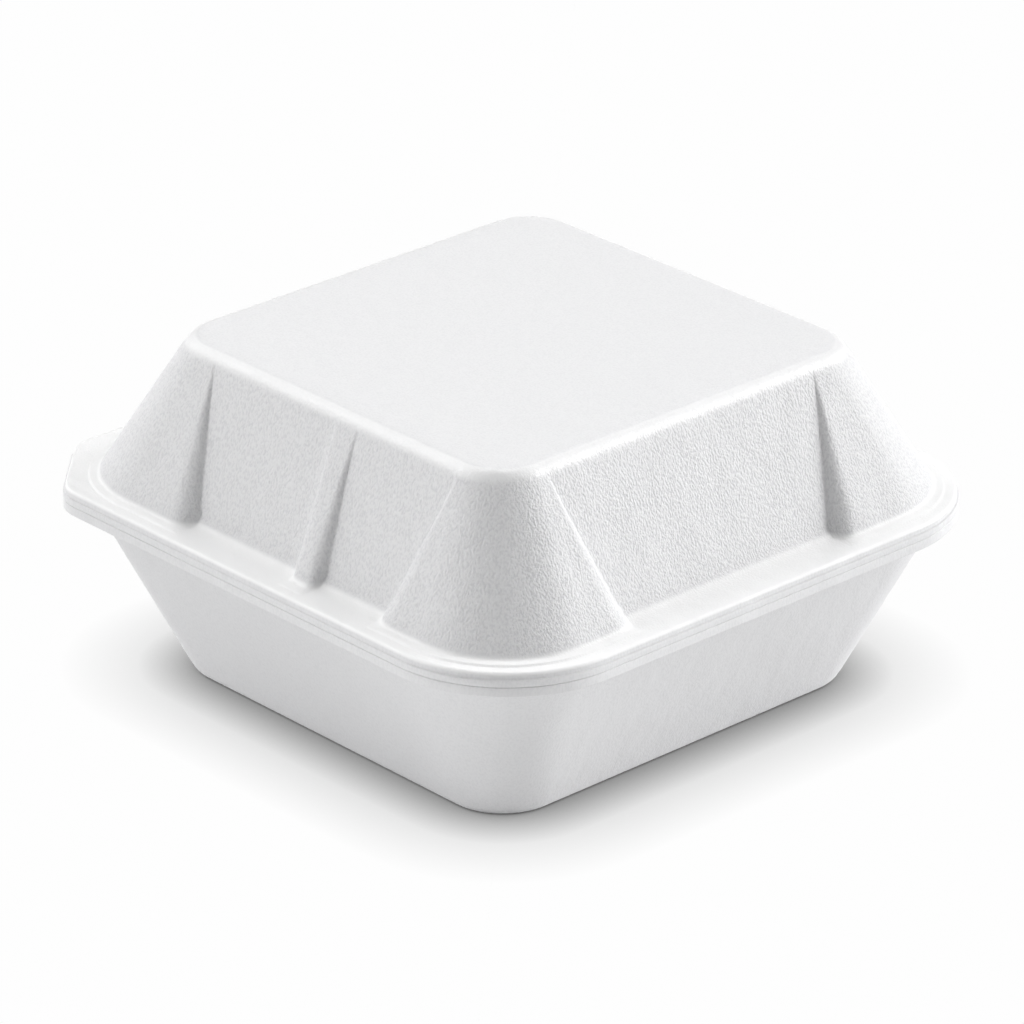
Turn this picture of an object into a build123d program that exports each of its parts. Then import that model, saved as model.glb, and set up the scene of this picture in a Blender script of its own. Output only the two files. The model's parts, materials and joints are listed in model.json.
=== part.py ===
# Hinged square foam sandwich container, closed, in millimetres.
# +Z is up, the front is -Y, the hinge runs along the back edge at +Y.
# The origin is under the middle of the rim, on the table.

import os
from math import atan, cos

from build123d import *

os.makedirs("parts", exist_ok=True)

# Overall sizes of the closed container
total_height = 78.0
rim_half_width = 75.0
rim_half_depth = 77.4

# Tub and lid sit a little nearer the front, which leaves more rim at the hinge
body_shift = -1.0

# The foam sheet
wall = 2.4
floor_thickness = 2.6

# Rim outline
rim_front_radius = 30.0
rim_back_cut = 17.0
rim_back_radius = 9.0

# Heights in the rim, measured from the plane where lid and tub meet
seal_height = 42.1
seal_gap = 0.3
lid_rim_thickness = 2.9
lid_lip_thickness = 1.4
lid_lip_step = 0.5
base_rim_thickness = 2.1
lid_rim_bevel = 0.7
lid_lip_bevel = 0.3
base_rim_bevel = 0.5

# Locating bead on the tub's rim, and the groove for it under the lid's rim
bead_inset = 3.4
bead_width = 1.2
bead_height = 0.6
bead_side_clearance = 0.4
bead_top_clearance = 0.3

# Tub, outside faces
base_foot_half_x = 53.2
base_foot_half_y = 52.8
base_foot_corner = 13.0
base_top_half_x = 71.2
base_top_half_y = 71.4
base_top_corner = 25.0
base_foot_round = 3.0

# Lid, outside faces
lid_top_half_x = 52.3
lid_top_half_y = 51.5
lid_top_corner = 11.0
lid_foot_half_x = 69.9
lid_foot_half_y = 71.0
lid_foot_corner = 24.0
lid_top_round = 4.0

# Low ring round the feet of the lid's corners
ring_width = 1.7
ring_height = 0.4

# Sunk panels in the lid's walls
panel_depth = 4.3
panel_top_drop = 1.6
panel_foot_half = 31.5
panel_top_half = 38.5
panel_draft = 0.22
panel_cove = 2.6
panel_valley = 0.8

# Rib in each side panel, leaning a little
rib_foot_middle = -9.2
rib_top_middle = -6.8
rib_width = 6.0

# Places worked out from the sizes above
lid_rim_bottom = seal_height + seal_gap / 2
lid_rim_top = lid_rim_bottom + lid_rim_thickness
base_rim_top = seal_height - seal_gap / 2
base_rim_bottom = base_rim_top - base_rim_thickness
lid_rise = total_height - lid_rim_top
panel_top = total_height - panel_top_drop

# How far each wall leans out for each millimetre down or up
lid_lean_x = (lid_foot_half_x - lid_top_half_x) / lid_rise
lid_lean_y = (lid_foot_half_y - lid_top_half_y) / lid_rise
base_lean_x = (base_top_half_x - base_foot_half_x) / base_rim_bottom
base_lean_y = (base_top_half_y - base_foot_half_y) / base_rim_bottom
lid_corner_lean = (lid_foot_corner - lid_top_corner) / lid_rise
base_corner_lean = (base_top_corner - base_foot_corner) / base_rim_bottom

# Wall thickness measured level, which is more than square to the sloping wall
lid_wall_level = wall / cos(atan((lid_lean_x + lid_lean_y) / 2))
base_wall_level = wall / cos(atan((base_lean_x + base_lean_y) / 2))


body_axis = Axis((0, body_shift, 0), (0, 0, 1))


def body_plane(z):
    return Plane((0, body_shift, z))


def lid_half_x(z):
    return lid_top_half_x + lid_lean_x * (total_height - z)


def lid_half_y(z):
    return lid_top_half_y + lid_lean_y * (total_height - z)


def lid_corner(z):
    return lid_top_corner + lid_corner_lean * (total_height - z)


def base_half_x(z):
    return base_foot_half_x + base_lean_x * z


def base_half_y(z):
    return base_foot_half_y + base_lean_y * z


def base_corner(z):
    return base_foot_corner + base_corner_lean * z


def tapered_block(low, high, half_x, half_y, corner, inset):
    """Block between two heights, with a rounded square section that follows the given sizes."""
    with BuildPart() as block:
        for z in (low, high):
            with BuildSketch(body_plane(z)):
                RectangleRounded(
                    2 * (half_x(z) - inset),
                    2 * (half_y(z) - inset),
                    corner(z) - inset,
                )
        loft(ruled=True)
    return block.part


def panel_tool(half_out, foot_range, top_range, sink, low, cove, valley):
    """Wedge that sinks one panel into the wall facing -Y.

    half_out gives the wall's distance from the middle at a height, and the
    ranges are where the panel starts and ends along the wall, low and high.
    sink is the extra level depth of the wedge over the whole panel.
    """
    reach = 9.0
    rise = panel_top - lid_rim_top
    with BuildPart() as tool:
        for z in (low, panel_top):
            share = (panel_top - z) / rise
            depth = panel_depth * share + sink
            start = top_range[0] + (foot_range[0] - top_range[0]) * share
            end = top_range[1] + (foot_range[1] - top_range[1]) * share
            face_y = -half_out(z)
            with BuildSketch(body_plane(z)):
                with BuildLine():
                    Polyline(
                        (start - panel_draft * reach, face_y - reach),
                        (end + panel_draft * reach, face_y - reach),
                        (end - panel_draft * depth, face_y + depth),
                        (start + panel_draft * depth, face_y + depth),
                        close=True,
                    )
                make_face()
        loft(ruled=True)
        if cove > 0:
            inner_face = tool.faces().sort_by(Axis.Y)[-1]
            fillet(inner_face.edges().sort_by(Axis.Z)[0], cove)
            inner_face = tool.faces().filter_by(lambda f: f.area > 200).sort_by(Axis.Y)[-1]
            valleys = inner_face.edges().sort_by(Axis.X)
            fillet([valleys[0], valleys[-1]], valley)
    return tool.part


def rim_block(low, high, inset):
    """Slab in the rim's outline, drawn in by inset on all sides."""
    with BuildPart() as slab:
        with BuildSketch(Plane.XY.offset(low)) as outline:
            with BuildLine():
                Polyline(
                    (-rim_half_width, -rim_half_depth),
                    (rim_half_width, -rim_half_depth),
                    (rim_half_width, rim_half_depth - rim_back_cut),
                    (rim_half_width - rim_back_cut, rim_half_depth),
                    (rim_back_cut - rim_half_width, rim_half_depth),
                    (-rim_half_width, rim_half_depth - rim_back_cut),
                    close=True,
                )
            make_face()
            fillet(outline.vertices().group_by(Axis.Y)[0], rim_front_radius)
            back = outline.vertices().filter_by(lambda v: v.Y > 0)
            fillet(back, rim_back_radius)
            if inset > 0:
                offset(amount=-inset, kind=Kind.INTERSECTION)
        extrude(amount=high - low)
    return slab.part


# Where the panels run along the walls, low and high
foot_whole = (-panel_foot_half, panel_foot_half)
top_whole = (-panel_top_half, panel_top_half)
foot_rib = (rib_foot_middle - rib_width / 2, rib_foot_middle + rib_width / 2)
top_rib = (rib_top_middle - rib_width / 2, rib_top_middle + rib_width / 2)

front_tool = panel_tool(lid_half_y, foot_whole, top_whole, 0, lid_rim_top, panel_cove, panel_valley)

# A side wall seen from outside has its front end on the right, so along the
# turned wall the places are counted from the back towards the front.
left_back_tool = panel_tool(
    lid_half_x,
    (-panel_foot_half, -foot_rib[1]),
    (-panel_top_half, -top_rib[1]),
    0,
    lid_rim_top,
    panel_cove,
    panel_valley,
)
left_front_tool = panel_tool(
    lid_half_x,
    (-foot_rib[0], panel_foot_half),
    (-top_rib[0], panel_top_half),
    0,
    lid_rim_top,
    panel_cove,
    panel_valley,
)
inner_foot = (-panel_foot_half - wall, panel_foot_half + wall)
inner_top = (-panel_top_half - wall, panel_top_half + wall)
inner_front_tool = panel_tool(
    lid_half_y, inner_foot, inner_top, lid_wall_level, lid_rim_bottom, 0, 0
)
inner_side_tool = panel_tool(
    lid_half_x, inner_foot, inner_top, lid_wall_level, lid_rim_bottom, 0, 0
)

with BuildPart() as lid_inside:
    add(
        tapered_block(
            lid_rim_bottom,
            total_height - wall,
            lid_half_x,
            lid_half_y,
            lid_corner,
            lid_wall_level,
        )
    )
    add(inner_front_tool, mode=Mode.SUBTRACT)
    add(inner_front_tool.rotate(body_axis, 180), mode=Mode.SUBTRACT)
    add(inner_side_tool.rotate(body_axis, -90), mode=Mode.SUBTRACT)
    add(inner_side_tool.rotate(body_axis, 90), mode=Mode.SUBTRACT)

lid_hollow = lid_inside.part
groove_inset = bead_inset - bead_side_clearance
groove_width = bead_width + 2 * bead_side_clearance
groove_depth = bead_height + bead_top_clearance - seal_gap

with BuildPart() as lid:
    add(rim_block(lid_rim_bottom, lid_rim_bottom + lid_lip_thickness, 0))
    chamfer(lid.edges().group_by(Axis.Z)[-1], lid_lip_bevel)
    add(rim_block(lid_rim_bottom + lid_lip_thickness, lid_rim_top, lid_lip_step))
    chamfer(lid.edges().group_by(Axis.Z)[-1], lid_rim_bevel)
    with BuildSketch(body_plane(lid_rim_top)):
        RectangleRounded(
            2 * (lid_foot_half_x + ring_width),
            2 * (lid_foot_half_y + ring_width),
            lid_foot_corner + ring_width,
        )
    extrude(amount=ring_height)
    add(tapered_block(lid_rim_top, total_height, lid_half_x, lid_half_y, lid_corner, 0))
    fillet(lid.faces().sort_by(Axis.Z)[-1].edges(), lid_top_round)

    # Panels sunk in the front and back walls, then in the two side walls
    add(front_tool, mode=Mode.SUBTRACT)
    add(front_tool.rotate(body_axis, 180), mode=Mode.SUBTRACT)
    for tool in (left_back_tool, left_front_tool):
        left_tool = tool.rotate(body_axis, -90)
        add(left_tool, mode=Mode.SUBTRACT)
        add(left_tool.mirror(Plane.YZ), mode=Mode.SUBTRACT)

    # Inside of the lid, one sheet's thickness behind the outside
    add(lid_hollow, mode=Mode.SUBTRACT)

    # Groove under the rim for the tub's bead
    add(
        rim_block(lid_rim_bottom, lid_rim_bottom + groove_depth, groove_inset)
        - rim_block(lid_rim_bottom, lid_rim_bottom + groove_depth, groove_inset + groove_width),
        mode=Mode.SUBTRACT,
    )


lid.part.label = "lid"
export_step(lid.part, "parts/lid.step")

with BuildPart() as base:
    add(tapered_block(0, base_rim_bottom, base_half_x, base_half_y, base_corner, 0))
    fillet(base.faces().sort_by(Axis.Z)[0].edges(), base_foot_round)
    add(rim_block(base_rim_bottom, base_rim_top, 0))
    chamfer(base.faces().sort_by(Axis.Z)[-1].edges(), base_rim_bevel)
    add(
        tapered_block(
            floor_thickness,
            base_rim_top,
            base_half_x,
            base_half_y,
            base_corner,
            base_wall_level,
        ),
        mode=Mode.SUBTRACT,
    )

    # Bead on top of the rim
    add(
        rim_block(base_rim_top, base_rim_top + bead_height, bead_inset)
        - rim_block(base_rim_top, base_rim_top + bead_height, bead_inset + bead_width)
    )

base.part.label = "base"
export_step(base.part, "parts/base.step")
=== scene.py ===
import json
from math import atan, cos, hypot, pi, radians, sin, tan
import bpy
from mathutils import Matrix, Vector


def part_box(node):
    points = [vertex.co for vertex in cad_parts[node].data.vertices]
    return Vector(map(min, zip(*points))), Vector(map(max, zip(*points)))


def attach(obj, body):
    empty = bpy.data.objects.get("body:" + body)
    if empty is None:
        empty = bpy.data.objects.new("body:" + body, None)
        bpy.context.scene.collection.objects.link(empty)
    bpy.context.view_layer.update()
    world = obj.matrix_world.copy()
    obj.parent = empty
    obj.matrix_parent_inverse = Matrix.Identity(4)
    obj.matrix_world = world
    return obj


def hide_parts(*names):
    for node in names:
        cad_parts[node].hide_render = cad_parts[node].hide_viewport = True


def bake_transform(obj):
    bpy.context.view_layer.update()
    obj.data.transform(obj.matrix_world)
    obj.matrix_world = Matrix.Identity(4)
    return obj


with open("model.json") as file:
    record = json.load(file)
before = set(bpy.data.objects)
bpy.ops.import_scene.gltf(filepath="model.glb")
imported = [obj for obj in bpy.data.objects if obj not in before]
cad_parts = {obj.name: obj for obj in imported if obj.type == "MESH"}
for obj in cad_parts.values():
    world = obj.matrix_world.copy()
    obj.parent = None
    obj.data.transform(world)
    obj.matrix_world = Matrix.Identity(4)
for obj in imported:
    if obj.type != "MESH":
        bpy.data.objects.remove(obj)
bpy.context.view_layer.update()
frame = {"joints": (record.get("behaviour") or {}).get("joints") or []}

from types import SimpleNamespace

import bpy
import numpy as np
from bpy.props import FloatProperty, FloatVectorProperty, PointerProperty
from mathutils import Matrix, Vector

bl_info = {
    "name": "Hinged foam food container",
    "version": (1, 0, 0),
    "blender": (4, 5, 0),
    "location": "View3D > Sidebar > Foam box",
    "description": "Builds the skin, film hinge, foam finish and studio of a foam food container",
    "category": "Object",
}

MM = 0.001

# What the frame says about the container, in millimetres
LID_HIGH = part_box("lid")[1] / MM
RIM_HALF_WIDTH, RIM_HALF_DEPTH, TOTAL_HEIGHT = LID_HIGH
HINGE = next(joint for joint in frame["joints"] if joint["name"] == "lid_hinge")
HINGE_Y, SEAL_HEIGHT = (value / MM for value in HINGE["pos_m"][1:])

# The CAD keeps the two rims apart; the skins nearly touch, as the real foam does
SEAL_HALF_GAP = 0.02
LID_RIM_BOTTOM = SEAL_HEIGHT + SEAL_HALF_GAP
BASE_RIM_TOP = SEAL_HEIGHT - SEAL_HALF_GAP

# How finely the skins are divided: points along walls and corners, and rows of points
CORNER_STEPS = 24
STRAIGHT_POINTS = 25
PLAIN_COUNTS = (5, 4, 32, 4, 5)
RIBBED_COUNTS = (5, 4, 16, 4, 4, 4, 12, 4, 5)
RIM_CORNER_STEPS = 40
LID_WALL_ROWS = 18
LID_INSIDE_ROWS = 13
COVE_ROWS = 7
TUB_WALL_ROWS = 18
TUB_INSIDE_ROWS = 14
FILM_POINTS = 39
FILM_ROWS = 17

# Where a panel fades out under the flat top, its steps and the room beside it keep these sizes
LEAST_STEP = 0.5
LEAST_FLANK = 0.4
LEAST_ROOM = 0.4

# Shares of a step that its bends may take at the ridge and in the valley, and of the rib's crest
RIDGE_SHARE = 0.78
VALLEY_SHARE = 0.2
CREST_SHARE = 0.34

# Outer side of the low ring: places outwards from its middle, and shares of its height
RING_PROFILE = ((-0.3, 1.0), (-0.05, 0.9), (0.15, 0.1), (0.4, 0.0))

# Level part of the lid's rim beside its rounded edge
RIM_LEAD = 0.8

# Small hollow between the rim's band and its lip: places outwards, and heights over the lip
LIP_HOLLOW = ((0.0, 0.4), (0.06, 0.15), (0.16, 0.04))

# Share of the bead's bevel at which its side bends over
BEAD_BEND = 0.4

# Rays to the rim's outline start this far back, so that they surely begin inside it
RAY_LEAD = 10.0

# The least length to divide by, and how far past an edge's ends a ray may still hit it
TINY = 1e-9
SHARE_SLACK = 1e-6

# Rays that measure the shade at each point of the card
SHADE_SAMPLES = 16

# Azimuth and height angle of each lamp, in degrees
LAMPS = {
    "high_lamp": (137, 50),
    "left_lamp": (-150, 45),
    "side_lamp": (-115, 15),
    "back_lamp": (180, 25),
    "right_lamp": (60, 45),
    "low_lamp": (60, 15),
    "fill_lamp": (-50, 45),
}

# Side of the square card in metres, sensor width in mm and the camera's limits in metres
CARD_SIDE = 6
SENSOR_WIDTH = 36
CLIP_NEAR, CLIP_FAR = 0.1, 20

FOAM = "thermoformed_polystyrene_foam"


def srgb(hex_colour):
    """Turn an sRGB hex colour into linear red, green, blue and alpha."""
    values = [int(hex_colour[i : i + 2], 16) / 255 for i in (1, 3, 5)]
    linear = [v / 12.92 if v <= 0.04045 else ((v + 0.055) / 1.055) ** 2.4 for v in values]
    return (*linear, 1.0)


def length(name, description, millimetres):
    """A size that the sidebar shows as a length."""
    metres = millimetres * MM
    return FloatProperty(name=name, description=description, default=metres, unit="LENGTH")


def colour(name, description, hex_colour):
    """A colour that the sidebar shows as a swatch."""
    return FloatVectorProperty(
        name=name,
        description=description,
        default=srgb(hex_colour),
        subtype="COLOR",
        size=4,
        min=0,
        max=1,
    )


def number(name, description, value):
    """A plain number in the sidebar."""
    return FloatProperty(name=name, description=description, default=value)


def angle(name, description, degrees):
    """An angle in the sidebar."""
    turn = radians(degrees)
    return FloatProperty(name=name, description=description, default=turn, subtype="ANGLE")


class FoamBoxShape(bpy.types.PropertyGroup):
    """Sizes of the moulded foam, as in the CAD source apart from softer steps and edges."""

    body_shift: length("Body shift", "How far the bodies sit behind the rim's middle", -1.0)
    wall: length("Wall", "Thickness of the foam sheet", 2.4)
    floor_thickness: length("Floor", "Thickness of the tub's floor", 2.6)
    rim_front_radius: length("Front corners", "Radius of the rim's front corners", 30.0)
    rim_back_cut: length("Back cut", "Leg of the rim's cut back corners", 17.0)
    rim_back_radius: length("Back corners", "Radius at both ends of a back cut", 9.0)
    lid_rim: length("Lid rim", "Thickness of the lid's rim", 3.02)
    lid_lip: length("Lid lip", "Height of the lip at the lid rim's foot", 1.52)
    lid_lip_step: length("Lip step", "How far the lip stands out", 0.5)
    lid_rim_round: length("Lid rim edge", "Radius of the lid rim's top edge", 0.8)
    lip_round: length("Lip edge", "Radius of the lip's edges", 0.18)
    base_rim: length("Tub rim", "Thickness of the tub's rim", 2.22)
    base_rim_round: length("Tub rim edge", "Radius of the tub rim's edges", 0.3)
    bead_inset: length("Bead inset", "From the rim's edge to the locating bead", 3.4)
    bead_width: length("Bead width", "Width of the locating bead", 1.2)
    bead_height: length("Bead height", "Height of the locating bead", 0.6)
    bead_bevel: length("Bead edge", "Width of the bevel on the bead's edges", 0.25)
    groove_play: length("Groove play", "Sideways room round the bead in its groove", 0.4)
    groove_depth: length("Groove depth", "Depth of the groove under the lid's rim", 0.6)
    base_foot_x: length("Tub foot x", "Half width of the tub at the table", 53.2)
    base_foot_y: length("Tub foot y", "Half depth of the tub at the table", 52.8)
    base_foot_corner: length("Tub foot corner", "Corner radius of the tub at the table", 13.0)
    base_top_x: length("Tub top x", "Half width of the tub under its rim", 71.2)
    base_top_y: length("Tub top y", "Half depth of the tub under its rim", 71.4)
    base_top_corner: length("Tub top corner", "Corner radius of the tub under its rim", 25.0)
    base_foot_round: length("Tub foot edge", "Radius of the edge between wall and underside", 3.0)
    floor_soft: length("Floor edge", "Radius of the edge between the tub's floor and walls", 2.0)
    rim_cove: length("Rim cove", "Radius where the tub's wall meets its rim", 0.8)
    lid_top_x: length("Lid top x", "Half width of the lid's flat top", 52.3)
    lid_top_y: length("Lid top y", "Half depth of the lid's flat top", 51.5)
    lid_top_corner: length("Lid top corner", "Corner radius of the lid's flat top", 11.0)
    lid_foot_x: length("Lid foot x", "Half width of the lid at its rim", 69.9)
    lid_foot_y: length("Lid foot y", "Half depth of the lid at its rim", 71.0)
    lid_foot_corner: length("Lid foot corner", "Corner radius of the lid at its rim", 24.0)
    lid_top_round: length("Lid top edge", "Radius of the edge round the flat top", 4.0)
    ceiling_soft: length("Ceiling edge", "Radius of the edge round the lid's ceiling", 1.2)
    ring_width: length("Ring width", "Width of the low ring at the corners' feet", 1.7)
    ring_height: length("Ring height", "Height of that ring", 0.4)
    corner_cove: length("Corner cove", "Radius where a corner meets the rim", 1.0)
    panel_cove: length("Panel cove", "Radius where a sunk panel meets the rim", 4.2)
    panel_depth: length("Panel depth", "How far the panels are sunk at their foot", 4.3)
    panel_drop: length("Panel drop", "From the flat top down to the panels' start", 1.6)
    panel_foot_half: length("Panel foot", "Half width of a panel at its foot", 31.5)
    panel_top_half: length("Panel head", "Half width of a panel at its start", 38.5)
    panel_step: length("Panel step", "Sideways run of a step at a panel's foot", 2.0)
    front_shift: length("Front panel shift", "How far the front panel sits to the right", -1.7)
    side_shift: length("Side panel shift", "How far the side panels sit nearer the front", 2.8)
    rib_foot: length("Rib foot", "From the wall's middle to the rib at its foot", 9.2)
    rib_top: length("Rib head", "From the wall's middle to the rib at its top", 6.8)
    rib_width: length("Rib width", "Width of the rib's crest", 6.0)
    rib_step: length("Rib step", "Sideways run of the rib's flanks at its foot", 1.1)
    rib_sink: length("Rib sink", "How far the rib's crest is sunk at its foot", 0.85)
    front_soft: length("Front step edge", "Softness of the steps in the front and back walls", 3.2)
    side_soft: length("Side step edge", "Softness of the steps in the side walls", 3.4)
    valley_soft: length("Valley", "Softness along the foot of each step", 0.5)
    film_half: length("Film half length", "Half the length of the hinge film", 57.0)
    film_thickness: length("Film thickness", "Thickness of the film at the hinge", 0.23)
    film_inset: length("Film inset", "How far the film stays inside the rim's back edge", 0.02)
    film_reach: length("Film reach", "How far the film laps over each rim", 0.4)


class FoamBoxLook(bpy.types.PropertyGroup):
    """Colours and finish of the foam, and the studio's settings."""

    foam: colour("Foam", "Colour of the white foam", "#e6e6e7")
    # Painted shade: the darker colour laid in the hollows between the foam's bumps
    painted_hollow_shade: colour("Hollow", "Colour between the bumps of the foam", "#d9d9db")
    # Painted light: the white that brightens the pressed rim beyond what the lamps give it
    pressed: colour("Pressed foam", "Colour of the foam where the rim is pressed thin", "#ffffff")
    roughness: number("Roughness", "Roughness of the foam's skin", 0.5)
    rim_roughness: number("Rim roughness", "Roughness of the pressed rim", 0.3)
    edge_roughness: number("Edge roughness", "Roughness of the drawn top edge", 0.4)
    edge_gloss: number("Edge gloss", "How strongly that edge mirrors, 0.5 being plain", 1.3)
    # Painted highlight: share of white laid along the lid's top edge
    painted_edge_highlight: number("Edge white", "Share of the pressed foam's colour on that edge", 0.42)
    cell: length("Cell", "Size of a foam cell on the skin", 0.45)
    relief: length("Relief", "Height of the bumps on the drawn walls", 0.24)
    wave: length("Wave", "Size of the slow waves in the skin", 9.0)
    wave_relief: length("Wave relief", "Height of those waves", 0.72)
    smooth_share: number("Smooth share", "Share of those bumps on the flat parts", 0.36)
    floor: colour("Floor", "Colour of the table and backdrop", "#f7f7f7")
    azimuth: angle("Azimuth", "Camera's turn round the container", -42.6)
    elevation: angle("Elevation", "Camera's height angle", 24.89)
    distance: length("Distance", "Camera's distance from the container", 1328.04)
    aim_right: length("Aim right", "Sideways place of the view's middle", -0.73)
    aim_up: length("Aim up", "Upward place of the view's middle", 33.56)
    lens: number("Lens", "Focal length in millimetres on a 36 mm sensor", 215.39)
    world: number("World", "Strength of the even light all round", 0.02)
    lamp_spread: angle("Lamp spread", "Width of each lamp as the container sees it", 40)
    high_lamp: number("High lamp", "Strength of the lamp high behind, which lights the edges", 0.94)
    left_lamp: number("Left lamp", "Strength of the lamp behind the left wall", 1.04)
    side_lamp: number("Side lamp", "Strength of the low lamp at the left", 0.9)
    back_lamp: number("Back lamp", "Strength of the lamp behind the hinge", 0.57)
    right_lamp: number("Right lamp", "Strength of the high lamp at the right", 0.99)
    low_lamp: number("Low lamp", "Strength of the low lamp at the right", 2.29)
    fill_lamp: number("Fill lamp", "Strength of the lamp near the camera", 0.36)
    floor_glow: number("Floor glow", "Brightness of the lit card as the camera sees it", 0.99)
    near_reach: length("Near reach", "How far the dark shade at the foot spreads", 11.0)
    near_depth: number("Near depth", "How strong that shade is", 0.55)
    far_reach: length("Far reach", "How far the faint shade round the container spreads", 26.0)
    far_depth: number("Far depth", "How strong the faint shade is", 0.42)


def in_mm(group):
    """The shape's sizes as plain numbers in millimetres."""
    return SimpleNamespace(**{name: getattr(group, name) / MM for name in group.__annotations__})


def between(low, high, z_low, z_high, z):
    """Half width, half depth and corner radius at z, on a straight line between two sections."""
    share = (z - z_low) / (z_high - z_low)
    return np.array(low) + (np.array(high) - np.array(low)) * share


def lid_section(s, z, inset=0.0):
    """Half width, half depth and corner radius of the lid at one height, drawn in by inset."""
    foot = (s.lid_foot_x, s.lid_foot_y, s.lid_foot_corner)
    top = (s.lid_top_x, s.lid_top_y, s.lid_top_corner)
    return between(foot, top, LID_RIM_BOTTOM + s.lid_rim, TOTAL_HEIGHT, z) - inset


def base_section(s, z, inset=0.0):
    """The same of the tub."""
    foot = (s.base_foot_x, s.base_foot_y, s.base_foot_corner)
    top = (s.base_top_x, s.base_top_y, s.base_top_corner)
    return between(foot, top, 0.0, BASE_RIM_TOP - s.base_rim, z) - inset


def unit(vector):
    """The vector at length 1."""
    return vector / max(np.linalg.norm(vector), TINY)


def bent_line(corners, softness, counts, bend_steps=6):
    """Points along a bent line with soft bends. The counts are fixed, so that all rows match."""
    corners = [np.array(corner, float) for corner in corners]
    cuts = [0.0, *softness, 0.0]
    line = []
    for i, count in enumerate(counts):
        along = unit(corners[i + 1] - corners[i])
        start = corners[i] + along * cuts[i]
        end = corners[i + 1] - along * cuts[i + 1]
        line += [start + (end - start) * k / count for k in range(count)]
        if i + 2 < len(corners):
            leave = corners[i + 1] + unit(corners[i + 2] - corners[i + 1]) * cuts[i + 1]
            for k in range(bend_steps):
                t = k / bend_steps
                line.append((1 - t) ** 2 * end + 2 * t * (1 - t) * corners[i + 1] + t * t * leave)
    line.append(corners[-1])
    return np.array(line)


def lid_wall(s, half, share, shift, ribbed, inner):
    """One lid wall seen from above: places along it, and how far the surface is sunk there."""
    depth = s.panel_depth * share
    step = max(s.panel_step * share, LEAST_STEP)
    edge = s.panel_top_half + (s.panel_foot_half - s.panel_top_half) * share
    edge = edge + (s.wall if inner else 0.0)
    start, end = max(shift - edge, LEAST_ROOM - half), min(shift + edge, half - LEAST_ROOM)
    # A bend may take most of its step at the ridge and little of it in the valley
    room = hypot(step, depth)
    soft = min(s.side_soft if ribbed else s.front_soft, RIDGE_SHARE * room)
    valley = min(s.valley_soft, VALLEY_SHARE * room)
    if not ribbed:
        corners = [(-half, 0), (start, 0), (start + step, depth)]
        corners += [(end - step, depth), (end, 0), (half, 0)]
        return bent_line(corners, [soft, valley, valley, soft], PLAIN_COUNTS)
    middle = s.rib_top + (s.rib_foot - s.rib_top) * share
    low, high = middle - s.rib_width / 2, middle + s.rib_width / 2
    crest = depth if inner else s.rib_sink * share
    flank = max(s.rib_step * share, LEAST_FLANK)
    rib_room = hypot(flank, depth - crest)
    ridge = min(s.side_soft, CREST_SHARE * s.rib_width, RIDGE_SHARE * rib_room)
    dip = min(s.valley_soft, VALLEY_SHARE * rib_room)
    corners = [(-half, 0), (start, 0), (start + step, depth), (low - flank, depth), (low, crest)]
    corners += [(high, crest), (high + flank, depth), (end - step, depth), (end, 0), (half, 0)]
    softness = [soft, valley, dip, ridge, ridge, dip, valley, soft]
    return bent_line(corners, softness, RIBBED_COUNTS)


def outline(section, walls):
    """Points round a rounded square: their places, how far each is sunk, and its outward direction.

    walls holds, for the front, right, back and left wall in turn, a function
    that gives the wall's own line for its half length.
    """
    half_x, half_y, corner = section
    places, sunk, outward = [], [], []
    for quarter, wall in enumerate(walls):
        turn = quarter * pi / 2
        across, out = (half_x, half_y) if quarter % 2 == 0 else (half_y, half_x)
        along_dir = np.array((cos(turn), sin(turn)))
        out_dir = np.array((sin(turn), -cos(turn)))
        line = wall(across - corner)
        places.append(along_dir * line[:, :1] + out_dir * (out - line[:, 1:]))
        sunk.append(line[:, 1])
        outward.append(np.tile(out_dir, (len(line), 1)))
        bend = (pi / 2 * np.arange(1, CORNER_STEPS) / CORNER_STEPS)[:, None]
        rays = out_dir * np.cos(bend) + along_dir * np.sin(bend)
        places.append(along_dir * (across - corner) + out_dir * (out - corner) + rays * corner)
        sunk.append(np.zeros(len(rays)))
        outward.append(rays)
    return np.vstack(places), np.concatenate(sunk), np.vstack(outward)


def lid_outline(s, z, inset=0.0, sunk_panels=True, inner=False):
    """Points round the lid at one height."""
    panel_top = TOTAL_HEIGHT - s.panel_drop
    lid_rim_top = LID_RIM_BOTTOM + s.lid_rim
    share = min(max((panel_top - z) / (panel_top - lid_rim_top), 0.0), 1.0)
    flat = 1.0 if sunk_panels else 0.0

    def front(half):
        return lid_wall(s, half, share, s.front_shift, False, inner) * (1, flat)

    def back(half):
        return lid_wall(s, half, share, 0.0, False, inner) * (1, flat)

    def left(half):
        return lid_wall(s, half, share, s.side_shift, True, inner) * (1, flat)

    def right(half):
        # Mirrored, so that the rib is nearer the front on both sides
        return left(half)[::-1] * (-1, 1)

    return outline(lid_section(s, z, inset), (front, right, back, left))


def base_outline(s, z, inset=0.0):
    """Points round the tub at one height."""

    def straight(half):
        return np.column_stack(
            [np.linspace(-half, half, STRAIGHT_POINTS), np.zeros(STRAIGHT_POINTS)]
        )

    return outline(base_section(s, z, inset), (straight,) * 4)


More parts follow.
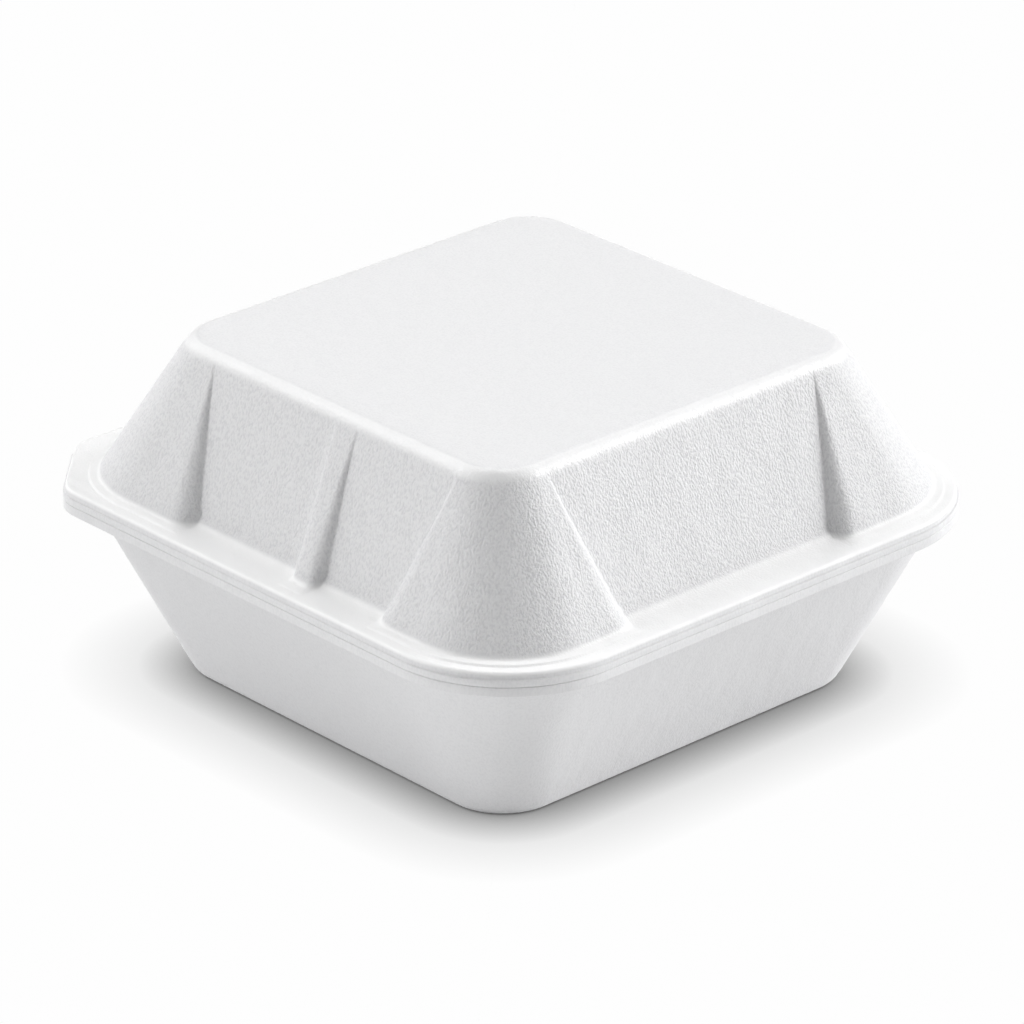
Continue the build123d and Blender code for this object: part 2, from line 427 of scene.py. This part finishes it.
def rim_outline(s):
    """The rim's outline as a dense closed line: round front corners and cut back corners."""
    w, d = RIM_HALF_WIDTH, RIM_HALF_DEPTH
    cut = s.rim_back_cut
    front, back = s.rim_front_radius, s.rim_back_radius
    corners = np.array([(-w, -d), (w, -d), (w, d - cut), (w - cut, d), (cut - w, d), (-w, d - cut)])
    line = []
    for i, radius in enumerate((front, front, back, back, back, back)):
        before = unit(corners[i - 1] - corners[i])
        after = unit(corners[(i + 1) % 6] - corners[i])
        half_angle = np.arccos(before @ after) / 2
        middle = corners[i] + unit(before + after) * radius / sin(half_angle)
        start = np.arctan2(*(corners[i] + before * radius / tan(half_angle) - middle)[::-1])
        sweep = pi - 2 * half_angle
        for k in range(RIM_CORNER_STEPS + 1):
            a = start + sweep * k / RIM_CORNER_STEPS
            line.append(middle + radius * np.array((cos(a), sin(a))))
    return np.array(line)


def reach_rim(s, points, directions, inset):
    """Where rays from points along directions cross the rim's outline, drawn in by inset."""
    line = rim_outline(s)
    edge = np.roll(line, -1, axis=0) - line
    inward = np.stack([-edge[:, 1], edge[:, 0]], 1)
    inward /= np.maximum(np.linalg.norm(inward, axis=1, keepdims=True), TINY)
    slant = inward + np.roll(inward, 1, axis=0)
    slant /= np.linalg.norm(slant, axis=1, keepdims=True)
    line = line + slant * inset / (slant * inward).sum(1, keepdims=True)
    edge = np.roll(line, -1, axis=0) - line
    found = []
    for point, ray in zip(points - RAY_LEAD * directions, directions):
        gap = line - point
        cross = ray[0] * edge[:, 1] - ray[1] * edge[:, 0]
        cross = np.where(np.abs(cross) < TINY, TINY, cross)
        distance = (gap[:, 0] * edge[:, 1] - gap[:, 1] * edge[:, 0]) / cross
        share = (gap[:, 0] * ray[1] - gap[:, 1] * ray[0]) / cross
        on_edge = (share > -SHARE_SLACK) & (share < 1 + SHARE_SLACK)
        hit = distance[(distance > 0) & on_edge]
        found.append(point + ray * hit.min())
    return np.array(found)


def at_height(places, z):
    """Flat points as one row of a mesh, at a height that may differ from point to point."""
    return np.column_stack([places, np.broadcast_to(z, len(places))])


def rim_rows(s, points, directions, profile):
    """Rows that follow a small profile round the rim: each step is an inset and a height."""
    return [at_height(reach_rim(s, points, directions, inset), z) for inset, z in profile]


def arc(radius, start, end, steps):
    """Sideways and upward parts of a small arc between two angles in degrees."""
    turns = np.radians(np.linspace(start, end, steps + 1))
    return np.column_stack([radius * np.cos(turns), radius * np.sin(turns)])


def disc_rows(places, centre, z, rings, outwards):
    """Rows that fill a flat face between its middle and its outline."""
    shares = [k / rings for k in range(1, rings + 1)]
    if not outwards:
        shares.reverse()
    return [at_height(centre + (places - centre) * share, z) for share in shares]


def mesh_from_rows(name, rows):
    """Closed mesh from rows of points that run round the object, shut by a point at each end."""
    count = len(rows[0])
    if any(len(row) != count for row in rows):
        raise ValueError(f"{name}: the rows don't hold the same number of points")
    points = np.vstack([*rows, rows[0].mean(0), rows[-1].mean(0)]) * MM
    start, end = len(rows) * count, len(rows) * count + 1
    here = np.arange(count)
    after = (here + 1) % count
    faces = []
    for i in range(len(rows) - 1):
        a, b = i * count, (i + 1) * count
        faces += np.column_stack([a + here, b + here, b + after, a + after]).tolist()
    last = (len(rows) - 1) * count
    faces += [(start, j, k) for j, k in zip(here.tolist(), after.tolist())]
    faces += [(end, last + k, last + j) for j, k in zip(here.tolist(), after.tolist())]
    mesh = bpy.data.meshes.new(name)
    mesh.from_pydata(points.tolist(), [], faces)
    mesh.shade_smooth()
    piece = bpy.data.objects.new(name, mesh)
    bpy.context.scene.collection.objects.link(piece)
    return piece


def lid_skin_rows(s):
    """Rows of the lid's skin, from the middle of the top, over the rim and up inside."""
    shift = np.array([0.0, s.body_shift])
    rim_top = LID_RIM_BOTTOM + s.lid_rim
    lean = atan((s.lid_foot_x - s.lid_top_x) / (TOTAL_HEIGHT - rim_top))

    # Flat top and its rounded edge
    reach = s.lid_top_round * tan((pi / 2 - lean) / 2)
    flat, _, outward = lid_outline(s, TOTAL_HEIGHT, reach, sunk_panels=False)
    rows = disc_rows(flat + shift, shift, TOTAL_HEIGHT, 12, outwards=True)
    for out, up in arc(s.lid_top_round, 90, np.degrees(lean), 9)[1:]:
        rows.append(at_height(flat + shift + outward * out, TOTAL_HEIGHT - s.lid_top_round + up))

    # Walls with their sunk panels
    wall_start = rows[-1][0, 2]
    wall_end = rim_top + s.panel_cove
    for z in np.linspace(wall_start, wall_end, LID_WALL_ROWS)[1:]:
        rows.append(at_height(lid_outline(s, z)[0] + shift, z))

    # Cove at the walls' feet, tight at the corners and wide under the panels
    foot, sunk, outward = lid_outline(s, rim_top)
    above, _, _ = lid_outline(s, wall_end)
    slope = ((foot - above) * outward).sum(1) / (wall_end - rim_top)
    panel = np.clip(sunk / s.panel_depth, 0, 1)
    raised = s.ring_height * (1 - panel) ** 2
    radius = s.corner_cove + (s.panel_cove - s.corner_cove) * panel
    lean_here = np.arctan(slope)
    tangent = radius * np.tan((pi / 2 - lean_here) / 2)
    for share in np.linspace(0, 1, COVE_ROWS):
        turn = lean_here + (pi / 2 - lean_here) * share
        out = tangent - radius * np.cos(turn) - slope * raised
        up = radius * (1 - np.sin(turn))
        rows.append(at_height(foot + shift + outward * out[:, None], rim_top + raised + up))

    # Low ring round the corners' feet, which fades out under the panels
    plane_foot, _, _ = lid_outline(s, rim_top, sunk_panels=False)
    for out, part in RING_PROFILE:
        places = plane_foot + shift + outward * (s.ring_width + out)
        rows.append(at_height(places, rim_top + raised * part))

    # Edge of the rim: a round top edge, a band, a small lip and the underside with its groove
    lip_top = LID_RIM_BOTTOM + s.lid_lip
    band = s.lid_lip_step
    profile = [(band + s.lid_rim_round + RIM_LEAD, rim_top)]
    for out, up in arc(s.lid_rim_round, 90, 0, 6):
        profile.append((band + s.lid_rim_round - out, rim_top - s.lid_rim_round + up))
    profile += [(band - out, lip_top + up) for out, up in LIP_HOLLOW]
    for out, up in arc(s.lip_round, 90, 0, 3):
        profile.append((s.lip_round - out, lip_top - s.lip_round + up))
    for out, up in arc(s.lip_round, 0, -90, 3):
        profile.append((s.lip_round - out, LID_RIM_BOTTOM + s.lip_round + up))
    near = s.bead_inset - s.groove_play
    far = s.bead_inset + s.bead_width + s.groove_play
    low, high = LID_RIM_BOTTOM, LID_RIM_BOTTOM + s.groove_depth
    profile += [(near, low), (near, high), (far, high), (far, low)]
    rows += rim_rows(s, plane_foot + shift, outward, profile)

    # Inside, one sheet's thickness behind the outside, with one broad panel a wall
    level_wall = s.wall / cos(lean)
    ceiling = TOTAL_HEIGHT - s.wall
    soft = s.ceiling_soft
    for z in np.linspace(LID_RIM_BOTTOM, ceiling - soft, LID_INSIDE_ROWS):
        rows.append(at_height(lid_outline(s, z, level_wall, inner=True)[0] + shift, z))
    for out, up in arc(soft, 0, 90, 4)[1:]:
        z = ceiling - soft + up
        places = lid_outline(s, z, level_wall + soft - out, sunk_panels=False, inner=True)[0]
        rows.append(at_height(places + shift, z))
    places = lid_outline(s, ceiling, level_wall + soft, sunk_panels=False, inner=True)[0]
    return rows + disc_rows(places + shift, shift, ceiling, 8, outwards=False)[1:]


def tub_skin_rows(s):
    """Rows of the tub's skin, from the middle of its floor, over the rim and down outside."""
    shift = np.array([0.0, s.body_shift])
    rim_low = BASE_RIM_TOP - s.base_rim
    lean = atan((s.base_top_x - s.base_foot_x) / rim_low)
    level_wall = s.wall / cos(lean)

    # Floor, its soft edge and the inner wall
    soft = s.floor_soft
    reach = soft * tan((pi / 2 - lean) / 2)
    flat, _, outward = base_outline(s, s.floor_thickness, level_wall + reach)
    rows = disc_rows(flat + shift, shift, s.floor_thickness, 8, outwards=True)
    for out, up in arc(soft, -90, -np.degrees(lean), 6)[1:]:
        rows.append(at_height(flat + shift + outward * out, s.floor_thickness + soft + up))
    for z in np.linspace(rows[-1][0, 2], BASE_RIM_TOP, TUB_INSIDE_ROWS)[1:]:
        rows.append(at_height(base_outline(s, z, level_wall)[0] + shift, z))

    # Top of the rim with its bead, then the rim's edge and underside
    bead_far = s.bead_inset + s.bead_width
    bead_top = BASE_RIM_TOP + s.bead_height
    bevel, bend = s.bead_bevel, BEAD_BEND * s.bead_bevel
    profile = [(bead_far, BASE_RIM_TOP), (bead_far - bend, bead_top - bend)]
    profile += [(bead_far - bevel, bead_top), (s.bead_inset + bevel, bead_top)]
    profile += [(s.bead_inset + bend, bead_top - bend), (s.bead_inset, BASE_RIM_TOP)]
    edge = s.base_rim_round
    for out, up in arc(edge, 90, 0, 5):
        profile.append((edge - out, BASE_RIM_TOP - edge + up))
    for out, up in arc(edge, 0, -90, 5):
        profile.append((edge - out, rim_low + edge + up))
    under, _, outward = base_outline(s, rim_low)
    rows += rim_rows(s, under + shift, outward, profile)

    # Cove under the rim and the outer wall, which runs in towards the foot
    cove = s.rim_cove
    reach = cove * tan((pi / 2 - lean) / 2)
    for out, up in arc(cove, 90, 180 - np.degrees(lean), 5)[1:-1]:
        rows.append(at_height(under + shift + outward * (reach + cove + out), rim_low - cove + up))
    for z in np.linspace(rim_low - cove, s.base_foot_round, TUB_WALL_ROWS):
        rows.append(at_height(base_outline(s, z)[0] + shift, z))

    # Rounded edge at the foot and the flat underside
    reach = s.base_foot_round * tan((pi / 2 - lean) / 2)
    flat, _, outward = base_outline(s, 0.0, reach)
    for out, up in arc(s.base_foot_round, -np.degrees(lean), -90, 8):
        rows.append(at_height(flat + shift + outward * out, s.base_foot_round + up))
    return rows + disc_rows(flat + shift, shift, 0.0, 8, outwards=False)[1:]


def film_rows(s):
    """Rows of the thin strip of foam that joins the two rims at the hinge."""
    outer = RIM_HALF_DEPTH - s.film_inset
    inner = outer - s.film_thickness
    along = np.linspace(-s.film_half, s.film_half, FILM_POINTS)
    loop = np.array([(x, inner) for x in along] + [(x, outer) for x in along[::-1]])
    heights = SEAL_HEIGHT + np.linspace(s.film_reach, -s.film_reach, FILM_ROWS)
    return [at_height(loop, z) for z in heights]


def add_node(tree, kind, inputs=None, **settings):
    """Add one shader node, with its settings and with values or links for its inputs."""
    node = tree.nodes.new(kind)
    for name, value in settings.items():
        setattr(node, name, value)
    for name, value in (inputs or {}).items():
        if isinstance(value, bpy.types.NodeSocket):
            tree.links.new(value, node.inputs[name])
        else:
            node.inputs[name].default_value = value
    return node


def new_material(name):
    """An empty node material."""
    material = bpy.data.materials.new(name)
    material.use_nodes = True
    material.node_tree.nodes.clear()
    return material


def ramp(tree, value, low, high, to_low=0.0, to_high=1.0):
    """A value turned smoothly from one range into another."""
    ends = {"From Min": low, "From Max": high, "To Min": to_low, "To Max": to_high}
    return add_node(
        tree, "ShaderNodeMapRange", {"Value": value, **ends}, interpolation_type="SMOOTHSTEP"
    ).outputs["Result"]


def combine(tree, operation, first, second):
    """One value made of two by the named operation."""
    return add_node(tree, "ShaderNodeMath", {0: first, 1: second}, operation=operation).outputs[0]


def foam_material(look, s):
    """Thermoformed polystyrene foam sheet, whose drawn cells lie under a thin skin.

    The eye gets a soft white with a fine grain of bumps, with painted shade in
    the hollows between them, drawn out along the lid's sloping walls where the
    sheet was stretched most, with slow waves in it, and a smoother rim where the
    moulds pressed the foam thin. The rim is whitened with painted light, and the
    top edge with a painted highlight.
    """
    material = new_material(FOAM)
    tree = material.node_tree
    place = add_node(tree, "ShaderNodeTexCoord").outputs["Object"]
    height = add_node(tree, "ShaderNodeSeparateXYZ", {"Vector": place}).outputs["Z"]
    # The moulds draw the sheet to about twice its length up the walls
    twice_as_high = {"Vector": place, "Scale": (1, 1, 0.5)}
    drawn = add_node(tree, "ShaderNodeMapping", twice_as_high).outputs["Vector"]
    grain = add_node(
        tree,
        "ShaderNodeTexNoise",
        {"Vector": drawn, "Scale": 1 / look.cell, "Detail": 1.5, "Roughness": 0.5},
    ).outputs["Fac"]
    waves = add_node(
        tree,
        "ShaderNodeTexNoise",
        {"Vector": drawn, "Scale": 1 / look.wave, "Detail": 2},
    ).outputs["Fac"]

    def zone(start, full, wane, end):
        """1 between two heights and 0 outside them, with soft ends, all in millimetres."""
        rise = ramp(tree, height, start * MM, full * MM)
        fall = ramp(tree, height, wane * MM, end * MM, 1.0, 0.0)
        return combine(tree, "MULTIPLY", rise, fall)

    # The lid's walls lie between its rim and its top edge
    rim_top = LID_RIM_BOTTOM + s.lid_rim
    top_edge = TOTAL_HEIGHT - s.lid_top_round
    on_wall = zone(rim_top + 0.3, rim_top + 2.5, top_edge, TOTAL_HEIGHT)
    stretch = ramp(tree, on_wall, 0, 1, look.smooth_share, 1.0)
    # The lid's rim is pressed flat from its rounded edge to the walls' feet; there the skin is
    # smoother, and painted light makes its colour whiter than the lamps alone would
    pressed = zone(rim_top - 0.9, rim_top - 0.1, rim_top + 0.4, rim_top + 1.4)
    # The sheet is drawn thin and shiny over the top edge, but not on the flat top;
    # a painted highlight also whitens that edge
    near_edge = zone(top_edge + 0.8, top_edge + 3, TOTAL_HEIGHT - 0.35, TOTAL_HEIGHT - 0.01)
    # Painted light: share of white laid on the pressed rim, and as a painted highlight on the top
    # edge
    painted_light_share = combine(tree, "MAXIMUM", pressed, ramp(tree, near_edge, 0, 1, 0.0, look.painted_edge_highlight))

    # Painted shade: the foam's colour is darkened in the hollows between the bumps, where shade
    # falls.
    # The noise's middle values run from those hollows to the bumps' tops.
    # Inputs 6 and 7 of a Mix node are its two colours, and output 2 is the mixed one.
    depth = combine(tree, "MULTIPLY", ramp(tree, grain, 0.3, 0.6, 1.0, 0.0), stretch)
    tone_with_painted_hollow_shade = add_node(
        tree, "ShaderNodeMix", {"Factor": depth, 6: look.foam, 7: look.painted_hollow_shade}, data_type="RGBA"
    ).outputs[2]
    tone_with_painted_light = add_node(
        tree, "ShaderNodeMix", {"Factor": painted_light_share, 6: tone_with_painted_hollow_shade, 7: look.pressed}, data_type="RGBA"
    ).outputs[2]
    dull = ramp(tree, near_edge, 0, 1, look.roughness, look.edge_roughness)
    shine = add_node(
        tree, "ShaderNodeMix", {"Factor": pressed, "A": dull, "B": look.rim_roughness}
    ).outputs["Result"]
    gloss = ramp(tree, near_edge, 0, 1, 0.5, look.edge_gloss)
    wavy = add_node(
        tree, "ShaderNodeBump", {"Height": waves, "Distance": look.wave_relief, "Strength": 0.6}
    ).outputs["Normal"]
    relief = combine(tree, "MULTIPLY", stretch, look.relief)
    bumped = add_node(
        tree, "ShaderNodeBump", {"Height": grain, "Distance": relief, "Normal": wavy}
    ).outputs["Normal"]
    finish = {"Base Color": tone_with_painted_light, "Roughness": shine, "IOR": 1.5, "Specular IOR Level": gloss}
    skin = add_node(
        tree, "ShaderNodeBsdfPrincipled", {**finish, "Normal": bumped}
    ).outputs["BSDF"]
    add_node(tree, "ShaderNodeOutputMaterial", {"Surface": skin})
    return material


def floor_material(look):
    """Matt white card, which the eye sees as a white ground with only a soft shade on it."""
    material = new_material("matt_white_card")
    tree = material.node_tree
    matt = {"Base Color": look.floor, "Roughness": 0.9, "Specular IOR Level": 0.1}
    card = add_node(tree, "ShaderNodeBsdfPrincipled", matt).outputs["BSDF"]

    def shade(reach, depth):
        """Shade that the container casts on the card as far as reach."""
        open_share = add_node(
            tree, "ShaderNodeAmbientOcclusion", {"Distance": reach}, samples=SHADE_SAMPLES
        ).outputs["AO"]
        return combine(tree, "POWER", open_share, depth)

    near, far = shade(look.near_reach, look.near_depth), shade(look.far_reach, look.far_depth)
    level = combine(tree, "MULTIPLY", combine(tree, "MULTIPLY", near, far), look.floor_glow)
    lit = add_node(tree, "ShaderNodeEmission", {"Strength": level}).outputs["Emission"]
    seen = add_node(tree, "ShaderNodeLightPath").outputs["Is Camera Ray"]
    # Sockets 1 and 2 of a Mix Shader are its two shaders
    both = add_node(tree, "ShaderNodeMixShader", {"Fac": seen, 1: card, 2: lit}).outputs["Shader"]
    add_node(tree, "ShaderNodeOutputMaterial", {"Surface": both})
    return material


def one_material(scene):
    """The foam material, made once for all pieces."""
    ready = bpy.data.materials.get(FOAM)
    return ready or foam_material(scene.foam_box_look, in_mm(scene.foam_box_shape))


def direction(azimuth, elevation):
    """From the container outwards, at a turn counted from its front and at a height angle."""
    level = cos(elevation)
    return Vector((sin(azimuth) * level, -cos(azimuth) * level, sin(elevation)))


def add_sun(name, strength, spread, azimuth, elevation):
    """A broad, far lamp that shines on the container from the given side and height."""
    light = bpy.data.lights.new(name, "SUN")
    light.energy = strength
    light.angle = spread
    lamp = bpy.data.objects.new(name, light)
    towards = direction(radians(azimuth), radians(elevation))
    lamp.rotation_mode = "QUATERNION"
    lamp.rotation_quaternion = towards.to_track_quat("Z", "Y")
    lamp.location = towards
    bpy.context.scene.collection.objects.link(lamp)


def add_camera(look):
    """Camera at the photograph's angle, level, with its lens as fitted to the container's edges."""
    back = direction(look.azimuth, look.elevation)
    right = Vector((cos(look.azimuth), sin(look.azimuth), 0.0))
    up = back.cross(right)
    middle = Vector((0, bpy.context.scene.foam_box_shape.body_shift, 0))
    camera = bpy.data.cameras.new("camera")
    camera.sensor_width = SENSOR_WIDTH
    camera.lens = look.lens
    camera.clip_start, camera.clip_end = CLIP_NEAR, CLIP_FAR
    eye = bpy.data.objects.new("camera", camera)
    turn = Matrix((right, up, back)).transposed().to_4x4()
    place = middle + right * look.aim_right + up * look.aim_up + back * look.distance
    eye.matrix_world = Matrix.Translation(place) @ turn
    bpy.context.scene.collection.objects.link(eye)
    bpy.context.scene.camera = eye


class FOAMBOX_OT_lid(bpy.types.Operator):
    """Make the lid's skin: conical corners, sunk panels, a leaning rib at each side, and the rim"""

    bl_idname = "foambox.lid"
    bl_label = "Make lid"

    def execute(self, context):
        skin = mesh_from_rows("lid_skin", lid_skin_rows(in_mm(context.scene.foam_box_shape)))
        skin.data.materials.append(one_material(context.scene))
        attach(skin, "lid_body")
        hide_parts("lid")
        return {"FINISHED"}


class FOAMBOX_OT_tub(bpy.types.Operator):
    """Make the tub's skin: a tapering bowl with a flat rim and its locating bead"""

    bl_idname = "foambox.tub"
    bl_label = "Make tub"

    def execute(self, context):
        skin = mesh_from_rows("tub_skin", tub_skin_rows(in_mm(context.scene.foam_box_shape)))
        skin.data.materials.append(one_material(context.scene))
        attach(skin, "tub_body")
        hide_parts("base")
        return {"FINISHED"}


class FOAMBOX_OT_film(bpy.types.Operator):
    """Make the thin foam strip that joins tub and lid at the hinge"""

    bl_idname = "foambox.film"
    bl_label = "Make hinge film"

    def execute(self, context):
        strip = mesh_from_rows("hinge_film", film_rows(in_mm(context.scene.foam_box_shape)))
        strip.data.materials.append(one_material(context.scene))
        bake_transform(strip)
        return {"FINISHED"}


class FOAMBOX_OT_stage(bpy.types.Operator):
    """Make the table, the lamps and the camera"""

    bl_idname = "foambox.stage"
    bl_label = "Make studio"

    def execute(self, context):
        look = context.scene.foam_box_look
        scene = context.scene
        bpy.ops.mesh.primitive_plane_add(size=CARD_SIDE)
        table = context.object
        table.name = "table"
        table.data.materials.append(floor_material(look))

        world = bpy.data.worlds.new("studio")
        world.use_nodes = True
        world.node_tree.nodes.clear()
        glow = add_node(
            world.node_tree, "ShaderNodeBackground", {"Color": (1, 1, 1, 1), "Strength": look.world}
        ).outputs["Background"]
        add_node(world.node_tree, "ShaderNodeOutputWorld", {"Surface": glow})
        scene.world = world

        for name, (azimuth, elevation) in LAMPS.items():
            add_sun(name, getattr(look, name), look.lamp_spread, azimuth, elevation)
        add_camera(look)
        scene.view_settings.view_transform = "Standard"
        return {"FINISHED"}


class FOAMBOX_PT_sidebar(bpy.types.Panel):
    """Sizes, colours and the buttons that make the container"""

    bl_label = "Foam box"
    bl_idname = "FOAMBOX_PT_sidebar"
    bl_space_type = "VIEW_3D"
    bl_region_type = "UI"
    bl_category = "Foam box"

    def draw(self, context):
        layout = self.layout
        for title, group in (
            ("Shape", context.scene.foam_box_shape),
            ("Look", context.scene.foam_box_look),
        ):
            box = layout.box()
            box.label(text=title)
            for name in group.__annotations__:
                box.prop(group, name)
        for operator in OPERATORS:
            layout.operator(operator.bl_idname)


OPERATORS = (FOAMBOX_OT_lid, FOAMBOX_OT_tub, FOAMBOX_OT_film, FOAMBOX_OT_stage)
CLASSES = (FoamBoxShape, FoamBoxLook, *OPERATORS, FOAMBOX_PT_sidebar)


def register():
    """Make the add-on's classes and settings known to Blender."""
    for cls in CLASSES:
        bpy.utils.register_class(cls)
    bpy.types.Scene.foam_box_shape = PointerProperty(type=FoamBoxShape)
    bpy.types.Scene.foam_box_look = PointerProperty(type=FoamBoxLook)


def unregister():
    """Take them away again."""
    del bpy.types.Scene.foam_box_look
    del bpy.types.Scene.foam_box_shape
    for cls in reversed(CLASSES):
        bpy.utils.unregister_class(cls)


def main():
    """Build the pieces and the studio."""
    register()
    bpy.ops.foambox.lid()
    bpy.ops.foambox.tub()
    bpy.ops.foambox.film()
    bpy.ops.foambox.stage()


if __name__ == "__main__":
    main()
